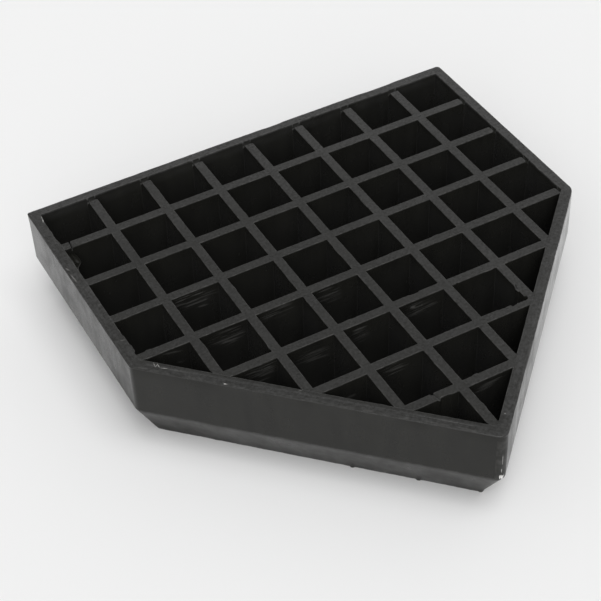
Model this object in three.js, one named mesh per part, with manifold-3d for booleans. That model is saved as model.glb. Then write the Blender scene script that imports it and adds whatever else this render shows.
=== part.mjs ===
// Home plate of moulded rubber, lying on its white playing face with the ribbed underside up.
// Millimetres, +Z up. The straight front edge faces +Y and the point faces -Y.
// The origin is under the middle of the plate, on the surface that it lies on.
import * as THREE from "three";
import { mergeVertices } from "three/addons/utils/BufferGeometryUtils.js";
import Module from "manifold-3d";

const wasm = await Module();
wasm.setup();

// Driving dimensions
const faceWidth = 431.8; // white playing face, 17 inches across
const faceSide = 213.5; // its two straight sides, from the front edge to the slanted edges
const faceThickness = 12; // white slab
const faceBorder = 2.5; // black edge that frames the white slab
const faceCornerRadius = 3; // corners of the playing face
const plateHeight = 101.6; // 4 inches from the playing face to the rim
const bevelHeight = 45.8; // how far up the sloping part of the outside reaches
const bevelInset = 21.6; // how far that slope draws in towards the playing face
const skirtCornerRadius = 8; // upright corners of the skirt
const deckThickness = 30; // from the playing face to the floors of the cells
const wallThickness = 11.5; // skirt wall at the rim
const ribThickness = 9.4; // rib at its top
const ribDrop = 1.2; // rib tops below the rim
const columns = 8; // cells from side to side
const draftAngle = 1.5; // degrees of taper on every moulded cell wall
const fitGap = 0.3; // bond line between neighbouring pieces
const arcSteps = 4; // facets on each rounded corner

// Sizes that follow from them
const draftSlope = Math.tan(THREE.MathUtils.degToRad(draftAngle));
const faceDepth = faceSide + faceWidth / 2; // the slanted edges meet at a right angle
const skirtOffset = faceBorder + bevelInset;
const skirtWidth = faceWidth + 2 * skirtOffset;
const cellWidth = (skirtWidth - 2 * wallThickness - (columns - 1) * ribThickness) / columns;
const pitch = cellWidth + ribThickness;
const ribTop = plateHeight - ribDrop;
const lapHeight = (deckThickness + ribTop) / 2;
const cutMargin = wallThickness; // how far a cutting solid reaches past what it cuts

// The rounded point stops short of the sharp one, and the plate is centred between it and the front.
const pointReach = faceDepth + Math.SQRT2 * skirtOffset - (Math.SQRT2 - 1) * skirtCornerRadius;
const frontLine = (pointReach - skirtOffset) / 2;

const whiteRubber = new THREE.MeshStandardMaterial({ color: 0xe9e7e1, roughness: 0.6, metalness: 0 });
const blackRubber = new THREE.MeshStandardMaterial({ color: 0x1c1c1d, roughness: 0.5, metalness: 0 });

// Corners of the five-sided plan, grown outwards from the white face, anticlockwise from front right.
function planCorners(offset) {
  const side = faceWidth / 2 + offset;
  const front = frontLine + offset;
  const shoulder = frontLine - faceSide - (Math.SQRT2 - 1) * offset;
  const point = frontLine - faceDepth - Math.SQRT2 * offset;
  return [
    new THREE.Vector2(side, front),
    new THREE.Vector2(-side, front),
    new THREE.Vector2(-side, shoulder),
    new THREE.Vector2(0, point),
    new THREE.Vector2(side, shoulder),
  ];
}

// The same plan with an arc at each corner. Every call gives the same number of points.
function roundedPlan(offset, radius) {
  const corners = planCorners(offset);
  const outline = [];
  corners.forEach((corner, k) => {
    const before = corner.clone().sub(corners.at(k - 1)).normalize();
    const after = corners[(k + 1) % corners.length].clone().sub(corner).normalize();
    const turn = Math.acos(before.dot(after));
    const inwards = new THREE.Vector2(-before.y, before.x);
    const setback = radius * Math.tan(turn / 2);
    const centre = corner.clone().addScaledVector(before, -setback).addScaledVector(inwards, radius);
    const from = Math.atan2(-inwards.y, -inwards.x);
    const arc = new THREE.ArcCurve(centre.x, centre.y, radius, from, from + turn, false);
    outline.push(...arc.getPoints(arcSteps));
  });
  return outline;
}

// A closed solid through plans stacked at rising heights, with flat ends.
function loft(levels) {
  const count = levels[0].plan.length;
  const last = (levels.length - 1) * count;
  const positions = levels.flatMap(({ plan, z }) => plan.flatMap((p) => [p.x, p.y, z]));
  const cap = THREE.ShapeUtils.triangulateShape(levels[0].plan, []);
  const faces = cap.flatMap(([a, b, c]) => [c, b, a, last + a, last + b, last + c]);
  for (let ring = 0; ring < last; ring += count) {
    for (let k = 0; k < count; k++) {
      const next = (k + 1) % count;
      faces.push(ring + k, ring + next, ring + count + next);
      faces.push(ring + k, ring + count + next, ring + count + k);
    }
  }
  const geometry = new THREE.BufferGeometry();
  geometry.setAttribute("position", new THREE.Float32BufferAttribute(positions, 3));
  return geometry.setIndex(faces);
}

function prism(plan, bottom, top) {
  const shape = new THREE.Shape(plan);
  const geometry = new THREE.ExtrudeGeometry(shape, { depth: top - bottom, bevelEnabled: false });
  return geometry.translate(0, 0, bottom);
}

function solidOf(geometry) {
  const bare = new THREE.BufferGeometry();
  bare.setAttribute("position", geometry.getAttribute("position"));
  bare.setIndex(geometry.index);
  const merged = mergeVertices(bare);
  return new wasm.Manifold(
    new wasm.Mesh({
      numProp: 3,
      vertProperties: merged.getAttribute("position").array,
      triVerts: new Uint32Array(merged.index.array),
    }),
  );
}

function meshOf(name, solid, material) {
  const { vertProperties, triVerts } = solid.getMesh();
  const indexed = new THREE.BufferGeometry();
  indexed.setAttribute("position", new THREE.BufferAttribute(vertProperties, 3));
  indexed.setIndex(new THREE.BufferAttribute(triVerts, 1));
  const faceted = indexed.toNonIndexed();
  faceted.computeVertexNormals();
  const mesh = new THREE.Mesh(faceted, material);
  mesh.name = name;
  return mesh;
}

// Outside of the plate at one height: it slopes out from the playing face, then rises straight to the rim.
function outside(z) {
  const share = Math.min(z / bevelHeight, 1);
  const radius = THREE.MathUtils.lerp(faceCornerRadius, skirtCornerRadius, share);
  return { plan: roundedPlan(faceBorder + share * bevelInset, radius), z };
}

// The hollow inside the skirt, wider towards the rim by the draft. What fits in it is drawn in by a gap.
function hollow(gap) {
  const level = (z) => {
    const wall = wallThickness + draftSlope * (plateHeight - z);
    return { plan: planCorners(skirtOffset - wall - gap), z };
  };
  return solidOf(loft([level(deckThickness - cutMargin), level(plateHeight + cutMargin)]));
}

function playingSurface() {
  return solidOf(prism(roundedPlan(0, faceCornerRadius), 0, faceThickness));
}

// The floor of the cells. The white slab is let into its underside.
function bevelledDeck() {
  const block = solidOf(loft([outside(0), outside(deckThickness)]));
  const seat = prism(roundedPlan(fitGap, faceCornerRadius + fitGap), -cutMargin, faceThickness);
  return block.subtract(solidOf(seat));
}

// One side's share of the plan, cut on the mitres at its ends with half of the gap taken off each.
function mitredSide(side) {
  const outer = planCorners(skirtOffset + cutMargin);
  const inner = planCorners(skirtOffset - wallThickness - cutMargin);
  const next = (side + 1) % outer.length;
  const along = outer[next].clone().sub(outer[side]).normalize();
  const trimmed = (points, corner, sense) => {
    const mitre = outer[corner].clone().sub(inner[corner]).normalize();
    const step = fitGap / 2 / Math.abs(along.cross(mitre));
    return points[corner].clone().addScaledVector(along, sense * step);
  };
  return [
    trimmed(outer, side, 1),
    trimmed(outer, next, -1),
    trimmed(inner, next, -1),
    trimmed(inner, side, 1),
  ];
}

// The five walls of the skirt, which stand on the deck.
function skirtWalls() {
  const levels = [deckThickness, Math.max(bevelHeight, deckThickness), plateHeight].map(outside);
  const ring = solidOf(loft(levels)).subtract(hollow(0));
  const names = ["front_wall", "left_wall", "left_slant_wall", "right_slant_wall", "right_wall"];
  return names.map((name, side) => {
    const share = prism(mitredSide(side), 0, plateHeight + cutMargin);
    return meshOf(name, ring.intersect(solidOf(share)), blackRubber);
  });
}

// A bar along X with a rib's tapered section between two heights, grown by a gap where it is a cutter.
function ribBar(bottom, top, gap) {
  const halfAt = (z) => ribThickness / 2 + draftSlope * (ribTop - z) + gap;
  const section = new THREE.Shape([
    new THREE.Vector2(-halfAt(bottom), bottom),
    new THREE.Vector2(halfAt(bottom), bottom),
    new THREE.Vector2(halfAt(top), top),
    new THREE.Vector2(-halfAt(top), top),
  ]);
  const length = 2 * pointReach;
  const geometry = new THREE.ExtrudeGeometry(section, { depth: length, bevelEnabled: false });
  geometry.translate(0, 0, -length / 2);
  const across = new THREE.Vector3(0, 1, 0);
  const up = new THREE.Vector3(0, 0, 1);
  const along = new THREE.Vector3(1, 0, 0);
  return geometry.applyMatrix4(new THREE.Matrix4().makeBasis(across, up, along));
}

// Rows run from side to side and columns from front to point. They cross in half laps, rows on top.
const rowAt = (y) => (bar) => solidOf(bar.translate(0, y, 0));
const columnAt = (x) => (bar) => solidOf(bar.rotateZ(Math.PI / 2).translate(x, 0, 0));

function ribPlaces() {
  const innerSide = skirtWidth / 2 - wallThickness;
  const innerFront = frontLine + skirtOffset - wallThickness;
  const innerPoint = frontLine - faceDepth - Math.SQRT2 * (skirtOffset - wallThickness);
  const rows = Math.floor((innerFront - innerPoint) / pitch);
  const step = (k) => (k + 1) * pitch - ribThickness / 2;
  return {
    rows: Array.from({ length: rows }, (_, k) => rowAt(innerFront - step(k))),
    columns: Array.from({ length: columns - 1 }, (_, k) => columnAt(step(k) - innerSide)),
  };
}

function ribs() {
  const places = ribPlaces();
  const inside = hollow(fitGap);
  const below = (place) => place(ribBar(deckThickness - cutMargin, lapHeight + fitGap / 2, fitGap));
  const above = (place) => place(ribBar(lapHeight - fitGap / 2, ribTop + cutMargin, fitGap));
  const rib = (place, laps) => {
    const whole = place(ribBar(deckThickness, ribTop, 0)).intersect(inside);
    return laps.reduce((left, lap) => left.subtract(lap), whole);
  };
  const rowLaps = places.columns.map(below);
  const columnLaps = places.rows.map(above);
  return [
    ...places.rows.map((place, k) => meshOf(`row_rib_${k + 1}`, rib(place, rowLaps), blackRubber)),
    ...places.columns.map((place, k) => meshOf(`column_rib_${k + 1}`, rib(place, columnLaps), blackRubber)),
  ];
}

const plate = new THREE.Group();
plate.name = "home_plate";
plate.add(meshOf("playing_surface", playingSurface(), whiteRubber));
plate.add(meshOf("bevelled_deck", bevelledDeck(), blackRubber));
plate.add(...skirtWalls(), ...ribs());

export default plate;
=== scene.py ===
"""Looks of a moulded rubber home plate that lies on its white face, with the ribbed underside up.

Metres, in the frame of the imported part: +Z up, +Y to the straight front edge, -Y to the point.
"""
import math

import bpy
import numpy as np
from mathutils import Euler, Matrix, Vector, noise
from mathutils.geometry import delaunay_2d_cdt


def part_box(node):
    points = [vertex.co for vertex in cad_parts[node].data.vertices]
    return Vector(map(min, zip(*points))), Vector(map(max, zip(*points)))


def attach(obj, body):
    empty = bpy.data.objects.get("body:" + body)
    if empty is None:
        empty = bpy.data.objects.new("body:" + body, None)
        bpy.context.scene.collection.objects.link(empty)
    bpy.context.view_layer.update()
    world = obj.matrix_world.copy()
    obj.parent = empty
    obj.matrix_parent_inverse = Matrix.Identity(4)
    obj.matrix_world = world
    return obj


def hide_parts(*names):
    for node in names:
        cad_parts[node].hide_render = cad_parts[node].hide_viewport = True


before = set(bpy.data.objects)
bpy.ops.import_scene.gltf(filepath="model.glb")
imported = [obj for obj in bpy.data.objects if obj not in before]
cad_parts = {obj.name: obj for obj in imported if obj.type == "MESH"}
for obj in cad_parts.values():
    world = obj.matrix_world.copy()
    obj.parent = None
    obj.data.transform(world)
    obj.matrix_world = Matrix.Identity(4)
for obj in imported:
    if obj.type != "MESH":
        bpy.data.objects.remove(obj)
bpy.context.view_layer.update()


def middle(node, axis):
    low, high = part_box(node)
    return (low[axis] + high[axis]) / 2


# Sizes that the frame gives
FACE_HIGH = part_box("playing_surface")[1]
FACE_HALF = FACE_HIGH.x
FRONT_LINE = FACE_HIGH.y
SEAT_TOP = FACE_HIGH.z
SKIRT_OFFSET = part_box("right_wall")[1].x - FACE_HALF
CAD_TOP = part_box("front_wall")[1].z
RIB_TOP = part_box("row_rib_1")[1].z
CELL_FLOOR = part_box("bevelled_deck")[1].z
COLUMN_LINES = [middle(f"column_rib_{k}", 0) for k in range(1, 8)]
ROW_LINES = [middle(f"row_rib_{k}", 1) for k in range(1, 8)]

# Sizes as in the part's source
FACE_SIDE = 0.2135
FACE_BORDER = 0.0025
FIT_GAP = 0.0003
BEVEL_HEIGHT = 0.0458
WALL = 0.0115
RIB = 0.0094
DRAFT = math.tan(math.radians(1.5))
SKIRT_RADIUS = 0.008
FACE_RADIUS = 0.003
FACE_EASE = 0.0008  # of the white slab's lower edge

# Edges as they come out of the mould and off the trimming knife. In all that follows, a pair called a run
# says where something begins and where it is full.
BURR = 0.00035  # height of the burr that a trimmed edge keeps
RIM_TOP = CAD_TOP - BURR
LIP = 0.0011  # how far the flash along the rim stands out from the wall
LIP_DROP = 0.0011  # how far it hangs down
RIM_EDGE = 0.0030  # width of the worn strip along the rim's outer edge
UNDERCUT = 0.0008  # how far the wall draws in under the flash
LEDGE = 0.0037  # width of the trimmed ledge along the inner edge of the left slanted rim
LEDGE_DROP = 0.0003  # how far it lies under the rim
LEDGE_RUN = (0.003, 0.012)  # from the ends of that rim
CELL_RADIUS = 0.0006  # upright corners of a cell
CELL_EDGE = 0.0005  # rounding where a cell meets the top of a rib
BRINK = CELL_EDGE * 1.8  # how far from a cell's edge the flat top begins
BRINK_WEAR, EDGE_FOOT_WEAR = 0.15, 0.5  # how worn that top is, and the rounding's foot
FLOOR_FILLET = 0.003
KNEE_ROUND = 0.0009  # where the wall meets the bevel
KNEE_FLAT = 0.12  # share of that by which it is flattened
KNEE_WEAR = 0.7
FOOT_IN = 0.0005  # rounding of the foot, inwards and upwards
FOOT_UP = 0.0012
FOOT_RUN = (0.006, 0.001)  # down the bevel, where it comes to be as uneven as the foot
STEP_HALF = 0.00035  # half the run of the small step from a rib up to the rim
ROUND_STEPS = 3  # rings round a rounded edge

# How closely the points of the skin lie
CELL_SPACING = 0.0024
SKIRT_SPACING = 0.0016
FACE_SPACING = 0.0040
FINE_SPACING = 0.0006  # beside flaws and cuts, out to these distances
FLAW_ROOM, CUT_ROOM = 0.002, 0.004
NUB_SPACING = 0.0008  # beside lumps of flash
STEP_SPACING = 0.0012  # along the step up to the rim
STEP_ROWS = (-0.0009, -STEP_HALF, STEP_HALF * 0.6, STEP_HALF, 0.0009)  # across it
RIM_SPACING = 0.0024
CUT_SPACING = 0.0005  # along a cut
NEAR_CORNER = (0.0005, 0.0013)  # the first two points from a corner
CORNER_BLEND = 4  # points over which the sides' values are evened out
CELL_ARC_STEPS, FACE_ARC_STEPS, SKIRT_ARC_STEPS = 4, 6, 10

# The five sides of the plate, in the order of its corners
FRONT, LEFT, LEFT_SLANT, RIGHT_SLANT, RIGHT = range(5)
POINT = 3  # the corner at the point
POINT_WEAR = 0.6  # how worn its upright edge is
WALL_INSET = np.array([0.0003, 0.0004, 0.0001, 0.0007, 0.0003])  # room for the flash in the part's box
LIP_SHARES = np.array([0.27, 0.15, 0.25, 0.5, 0.27])  # how much flash each side's rim has kept
DROOP_SHARES = np.array([0.1, 0.3, 0.15, 0.7, 0.1])  # how much of it hangs down
UNDER_SHARES = np.array([0.2, 0.15, 0.15, 0.8, 0.2])  # how much the wall draws in under it
EDGE_ROUND = np.array([0.35, 1.0, 0.5, 1.0, 0.35])  # how worn round the rim's outer edge is
EDGE_RISE = np.array([0.9, 0.0, 0.0, 0.0, 0.9])  # how much burr stands up along it
EDGE_WEAR = np.array([0.7, 0.7, 0.1, 1.0, 0.7])  # how pale it is worn
LINE_WEAR = np.array([0.0, 0.0, 1.3, 0.0, 0.0])  # and a line beside it
SETBACK = np.array([0.0026, 0.0, -0.0008, 0.0, 0.0014])  # how far back each rim's inner edge lies
SETBACK_LESS = 0.0014  # less of that towards the front rim's right end
SETBACK_LESS_RUN = (0.08, 0.20)  # across the plate
EDGE_RUN = (-0.0040, -0.0005)  # beside a rim, where a cell's edge comes to move with it
RIB_END_BACK = 0.8  # share of the set-back at a rib's end
NOTCH_DEPTH = np.array([0.0050, 0.0, 0.0, 0.0, 0.0030])  # how far the ribs' ends fall away beside a rim
NOTCH_REACH = np.array([0.0030, 0.001, 0.001, 0.001, 0.0017])  # and how far along the rib
NOTCH_FULL = 0.7  # share of that at full depth
NOTCH_ROWS = (1.2, 1.0, 0.85, 0.7, 0.35)  # shares of it where the skin has points
NOTCH_PAINTED_SHADE = np.array([0.60, 0.0, 0.0, 0.0, 0.95])  # painted shade: how much darker the ribs are painted there, in the notch
LIP_RUN = (0.004, 0.020)  # of the flash, from the corners of the slanted sides
LIP_CORNERS = np.array([0.45, 0.2, 1.0, 1.0, 1.2])  # how round the flash is at each corner
WALL_CORNERS = np.array([0.6, 0.4, 1.0, 1.0, 0.6])  # and the wall

# How dull the outside is, from the satin of the mould at 0
WALL_DULL = np.array([0.0, 0.12, 0.0, -0.20, 0.0])  # each side's wall
FRONT_END_DULL = -0.12  # the left wall's end at the front
FRONT_END_RUN = (0.185, 0.215)  # along it
SHOULDER_DULL = 0.35  # more on its other end, low down
SHOULDER_RUN = (0.075, 0.025)
SHOULDER_DOWN_RUN = (0.080, 0.050)
POINT_DULL = 0.05  # the right slanted wall's end at the point
POINT_RUN = (-0.09, -0.19)
BEVEL_DULL = 0.15  # the bevel at the knee
FOOT_DULL = 0.60  # and at the foot
LEFT_BEVEL_DULL = 0.7  # share by which the bevel is duller at the left
LEFT_BEVEL_RUN = (-0.17, -0.22)

# How pale the rubber is painted, from the outside walls at 0 to the trimmed rim at 1: its bloom, with
# painted light where said
RIB_BLOOM = 0.60
FAR_PAINTED_REFLECTION = 0.18  # painted reflection of the bright room: paler on the ribs towards the right and the front
RIGHT_RUN, FRONT_RUN = (0.0, 0.08), (0.13, 0.17)
BRUSH = 0.3  # how much it varies in the fine lines along the rim
GRAIN = 0.8  # and in the grain of all tops
RIM_BLOOM = np.array([1.36, 0.93, 0.80, 1.03, 1.24])  # on each side's rim
LEDGE_TONE = np.array([1.0, 1.0, 0.62, 0.80, 1.0])  # share of that along its inner edge, darker on the two slanted rims
CELL_BLOOM = 0.13
CELL_PAINTED_LIGHT_DEEPER = 11.0  # painted light: paler for each metre down the wall, against the shade deeper in the cell
CELL_BLOOM_AND_PAINTED_LIGHT_MOST = 0.5
LEFT_PAINTED_LIGHT = 0.9  # painted light: paler on the walls that face left, which the lamps light less
LEFT_PAINTED_LIGHT_RUN = (0.0, 0.008)  # down them
RIM_PAINTED_LIGHT = np.array([1.4, 0.0, 0.0, 0.0, 0.8])  # painted light: paler on each wall's top under these rims, in the cells, where it catches more light
RIM_PAINTED_LIGHT_DEEP = 0.0120  # and how far down

# The rim's outer edge, row by row: inset from the wall, shares of flash and undercut, drop where the edge
# is round, shares of droop and burr, wear, worn line and bloom
EDGE_ROWS = [
    (RIM_EDGE, 0.0, 0.0, 0.0, 0.0, 0.0, 0.1, 0.2, 1.0),
    (0.0020, 0.0, 0.0, 0.0, 0.0, 0.3, 0.4, 1.0, 1.0),
    (0.0008, 0.2, 0.0, 0.00010, 0.1, 1.0, 0.8, 0.5, 1.0),
    (0.0001, 0.9, 0.0, 0.00045, 0.6, 1.0, 1.0, 0.0, 0.8),
    (0.0, 1.0, 0.0, 0.00085, 1.0, 0.8, 1.0, 0.0, 0.5),
    (0.0, 0.7, 0.0, 0.00125, 1.1, 0.3, 0.8, 0.0, 0.2),
    (0.0, 0.4, 1.0, 0.00160, 1.2, 0.0, 0.2, 0.0, 0.0),
    (0.0, 0.2, 1.0, 0.00220, 1.4, 0.0, 0.0, 0.0, 0.0),
    (0.0, 0.0, 0.0, 0.00300, 1.5, 0.0, 0.0, 0.0, 0.0),
]
DASH_LENGTH, DASH_WIDTH = 0.009, 0.0012  # of the broken lines in which it is worn

# Heights and depths where the skin has rings, and shares of the bevel's and of the foot's height
WALL_HEIGHTS = (0.090, 0.076, 0.062)
BEVEL_SHARES = (0.88, 0.6, 0.3, 0.12)
FOOT_SHARES = (1.0, 0.65, 0.35, 0.12, 0.0)
CELL_DEPTHS = (0.0014, 0.0055, RIM_PAINTED_LIGHT_DEEP, 0.020, 0.042, RIB_TOP - CELL_FLOOR - FLOOR_FILLET)
FLAW_DEPTH = 0.020  # how far down the cells' walls their uneven edges show
NOTCH_SLOPE = 0.18  # how a cell's wall closes up under a notch, for each metre down

# Uneven edges: a middle value, then height, size and seed of each layer of noise on it
CELL_UNEVEN = (0.0, (0.00014, 0.0070, 3.1), (0.00008, 0.0021, 7.7))
SKIN_UNEVEN = (0.0, (1.0, 0.0160, 11.3))
LEDGE_UNEVEN = (1.0, (0.08, 0.0120, 14.2))
LIP_UNEVEN = (0.42, (0.45, 0.0220, 1.3), (0.50, 0.0055, 4.4))
DROOP_UNEVEN = (0.5, (0.50, 0.0180, 9.2), (0.35, 0.0060, 2.6))
UNDER_UNEVEN = (0.45, (1.3, 0.0300, 31.0))
HANG_UNEVEN = (0.55, (0.35, 0.0100, 12.5), (0.45, 0.0035, 19.5))
FOOT_UNEVEN = (0.0, (0.00025, 0.0040, 6.1), (0.00030, 0.0150, 2.9))
SKIN = 0.0006  # rubber left standing along parts of the cells' edges
SKIN_RUN = (0.42, 0.62)  # in the values of its noise

# Torn and trimmed places on the cells' edges: plan place, half sizes along X and Y, and how far the edge
# moves back into the rubber. Below zero, rubber is left standing in the cell. Flaws, cuts and dips are at
# their full size up to a share of the way out.
EDGE_FLAWS = [
    (-0.2285, 0.0165, 0.0030, 0.0070, -0.0018),
    (-0.2285, 0.0290, 0.0030, 0.0070, -0.0011),
    (-0.2160, 0.0068, 0.0030, 0.0020, -0.0009),
    (-0.0270, -0.1681, 0.0016, 0.0030, 0.0018),
    (-0.0180, -0.1775, 0.0060, 0.0030, 0.0012),
    (-0.0250, -0.1775, 0.0011, 0.0030, -0.0014),
    (0.0880, -0.1098, 0.0080, 0.0030, 0.0010),
    (0.0975, -0.1098, 0.0035, 0.0030, 0.0030),
    (0.1080, -0.1098, 0.0090, 0.0030, 0.0022),
    (0.1119, -0.0965, 0.0030, 0.0030, -0.0015),
    (0.0183, -0.1681, 0.0030, 0.0030, -0.0009),
    (0.0690, -0.0609, 0.0010, 0.0030, 0.0009),
    (0.0270, -0.0515, 0.0060, 0.0030, 0.0009),
    (-0.2285, 0.2065, 0.0030, 0.0220, 0.0011),
]
FLAW_FULL, CUT_FULL, DIP_FULL = 0.7, 0.4, 0.4
FLAW_RAGGED, FLAW_GRAIN = 0.35, 0.0016  # how uneven a flaw is, and how finely

# Cuts in the tops of ribs and rim: the two ends, half width and depth
TOP_CUTS = [
    ((-0.2197, 0.1822), (-0.2210, 0.1715), 0.0009, 0.0040),
    ((-0.0268, -0.1680), (-0.0240, -0.1780), 0.0008, 0.0010),
    ((0.1142, -0.0890), (0.1118, -0.0960), 0.0006, 0.0018),
]

# Lumps of flash along the foot
FOOT_NUBS = [(-0.0849, -0.1294), (-0.0414, -0.1730), (-0.0004, -0.2120)]
NUB = 0.0013  # how far they stand out
NUB_SIZES = (0.0008, 0.0028)  # of their tops and their feet
NUB_ROOM = 0.006  # where the skin has closer points

# Flash that hangs over the left wall
HANG_FROM, HANG_TO = 0.208, 0.140
HANG_FADES = (0.012, 0.020)  # at its two ends
HANG = 0.0020  # how far it hangs

# Where the front rim's outer edge dips: how far across, half length and depth
EDGE_DIPS = [(0.160, 0.022, 0.0012), (0.035, 0.014, 0.0008)]

# A tongue of flash that hangs from the left wall into its second cell
FLAP_FROM, FLAP_TO = 0.1728, 0.1412
FLAP_REACH = 0.0101
FLAP_THICKNESS = 0.0008
FLAP_ROOT, FLAP_DROP = 0.0008, 0.0006  # how far into the wall and under the ribs' tops it is rooted
FLAP_SAG = 0.0020
FLAP_SAG_MORE = 0.55  # for each metre that it reaches out

# White scratches on the rim: the two ends, half width and strength
SCRATCHES = [
    ((-0.2190, -0.0108), (-0.2200, -0.0165), 0.00045, 0.40),
    ((-0.2200, -0.0168), (-0.2166, -0.0140), 0.00040, 0.45),
    ((-0.2166, -0.0140), (-0.2170, -0.0192), 0.00045, 0.50),
    ((-0.2168, -0.0200), (-0.2114, -0.0239), 0.00045, 0.45),
    ((-0.1769, -0.0661), (-0.1748, -0.0680), 0.00065, 0.75),
    ((-0.1240, -0.1064), (-0.1218, -0.1084), 0.00050, 0.18),
    ((-0.2294, 0.2302), (-0.2299, 0.2252), 0.00045, 0.30),
    ((-0.2299, 0.2252), (-0.2306, 0.2208), 0.00060, 0.55),
    ((0.0136, -0.2198), (0.0144, -0.2204), 0.00060, 0.40),
    ((-0.2375, 0.2364), (-0.2367, 0.2352), 0.00060, 0.12),
    ((-0.2377, 0.1461), (-0.2364, 0.1421), 0.00080, 0.15),
    ((-0.2374, 0.1371), (-0.2363, 0.1221), 0.00080, 0.17),
    ((-0.2330, 0.0297), (-0.2292, 0.0287), 0.00080, 0.09),
    ((-0.2315, 0.0836), (-0.2288, 0.0826), 0.00080, 0.07),
    ((-0.2240, -0.0121), (-0.1929, -0.0432), 0.00070, 0.04),
    ((-0.0486, -0.1867), (-0.0147, -0.2206), 0.00070, 0.05),
]

# Bare white chafing on the point, and above it two thin painted highlights up its rounded upright edge:
# place, half sizes and strength
CHAFES_AND_HIGHLIGHTS = [
    ((-0.0009, -0.2421, 0.0486), (0.0026, 0.0026, 0.0035), 1.0),
    # Painted highlights up the point's rounded upright edge, not chafing:
    ((-0.0012, -0.2420, 0.0570), (0.0005, 0.0026, 0.0052), 0.45),
    ((-0.0008, -0.2420, 0.0715), (0.0004, 0.0026, 0.0070), 0.30),
]

# Light tears under the flash of the left wall: the two ends and strength
TEARS = [
    ((-0.2396, 0.1041, 0.0970), (-0.2396, 0.1001, 0.0906), 0.15),
    ((-0.2396, 0.0890, 0.0950), (-0.2396, 0.0800, 0.0905), 0.08),
]
TEAR_HALF = 0.0008  # half width

# Pale smears on the cell walls that face the point: the rib that carries it, or 0 for the front wall,
# both ends across and up, half width and strength
SMEARS = [
    (0, (-0.2208, 0.0979), (-0.2067, 0.0989), 0.0014, 1.00),
    (3, (-0.1680, 0.0905), (-0.1290, 0.0885), 0.0095, 0.60),
    (3, (-0.1521, 0.0956), (-0.1313, 0.0947), 0.0014, 0.75),
    (3, (-0.1448, 0.0797), (-0.1351, 0.0781), 0.0011, 0.55),
    (4, (-0.1560, 0.0890), (-0.1260, 0.0860), 0.0090, 0.50),
    (4, (-0.1481, 0.0833), (-0.1343, 0.0815), 0.0024, 0.45),
    (4, (-0.1060, 0.0945), (-0.0700, 0.0920), 0.0060, 0.50),
    (4, (-0.0464, 0.0971), (-0.0325, 0.0968), 0.0012, 0.50),
    (4, (-0.0470, 0.0890), (-0.0250, 0.0860), 0.0080, 0.45),
    (4, (-0.2047, 0.0974), (-0.1865, 0.0930), 0.0012, 0.30),
    (4, (-0.1947, 0.0815), (-0.1865, 0.0798), 0.0012, 0.35),
    (5, (-0.1492, 0.0920), (-0.1240, 0.0890), 0.0110, 0.55),
    (5, (-0.1002, 0.0860), (-0.0700, 0.0840), 0.0090, 0.40),
    (5, (-0.0426, 0.0947), (-0.0290, 0.0936), 0.0020, 0.50),
    (5, (-0.0430, 0.0880), (-0.0290, 0.0820), 0.0080, 0.45),
    (5, (0.0180, 0.0936), (0.0229, 0.0933), 0.0016, 0.90),
    (5, (0.0140, 0.0890), (0.0430, 0.0880), 0.0090, 0.55),
    (6, (-0.0449, 0.0930), (-0.0260, 0.0910), 0.0075, 0.45),
    (6, (-0.0839, 0.0817), (-0.0757, 0.0811), 0.0016, 0.45),
    (7, (0.0148, 0.0903), (0.0395, 0.0974), 0.0050, 0.40),
]
SMEAR_DEPTH = 0.002  # how far a smear's paint reaches into the rubber
BROAD_SMEAR = 0.0025  # half width from which a smear is made up of strands

# Colours
BLACK_LOW, BLACK_HIGH = (0.0060, 0.0059, 0.0047), (0.0108, 0.0107, 0.0085)
BLOOM_AND_PAINTED_LIGHT_GREY = (0.0490, 0.0488, 0.0480)
BLOOM_AND_PAINTED_LIGHT_FULL = 0.6  # how much of that grey a value of 1 gives, for bloom and painted light alike
WORN_GREY = (0.085, 0.083, 0.079)
SMEAR_GREY = (0.085, 0.084, 0.080)
SCRATCH_WHITE = (0.62, 0.61, 0.59)
CHAFE_AND_HIGHLIGHT_WHITE = (0.80, 0.79, 0.77)
WHITE_LOW, WHITE_HIGH = (0.72, 0.71, 0.68), (0.80, 0.79, 0.76)
SCUFF_GREY = (0.55, 0.54, 0.52)
EDGE_GREY = (0.36, 0.355, 0.345)
FLOOR_GREY = (0.855, 0.855, 0.855, 1.0)

# Gloss
SATIN = (0.17, 0.29)  # roughness of the black rubber, from place to place
DULL_ROUGHNESS = 0.35  # more where it is worn or dull
MATTE = (0.50, 0.66)  # roughness of the white rubber
RUBBER_SHINE = 0.32
NOISE_SPAN = (0.3, 0.7)  # where nearly all values of a noise lie

# Floor
FLOOR_HALF = 30.0
FLOOR_LEVEL = -0.0002

# The photograph's camera, found from the lattice of ribs and the edges of the plate
SENSOR_WIDTH = 36.0
LENS = 95.286
CAMERA_PLACE = (-0.55093, -0.96164, 1.10425)
CAMERA_TURN = (46.802, 2.0514, -28.7709)  # degrees

# Light: an even room, brighter low down behind the plate, and two wide soft lamps
ROOM_LEVEL = 0.428
BACKDROP_LEVEL = 0.20
BACKDROP_BEARING = 45.0  # degrees from +X towards +Y, as for the lamps
BACKDROP_HEIGHT = 10.0  # degrees above the floor
BACKDROP_RUN = (0.70, 0.95)  # in cosines from its middle
SOFT_LAMPS = {  # bearing, height, degrees across, power
    "front_lamp": (237.0, 36.0, 60.0, 1.36),
    "top_lamp": (285.0, 75.0, 40.0, 1.15),
}


def smooth(low, high, value):
    """0 below low and 1 above high, with a smooth run between them."""
    share = np.clip((value - low) / (high - low), 0, 1)
    return share * share * (3 - 2 * share)


def wander(plan, size, seed):
    """Smooth noise from about -1 to 1 at plan points, with features of the given size."""
    return np.array([noise.noise(Vector((x / size, y / size, seed))) for x, y in plan])


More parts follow.
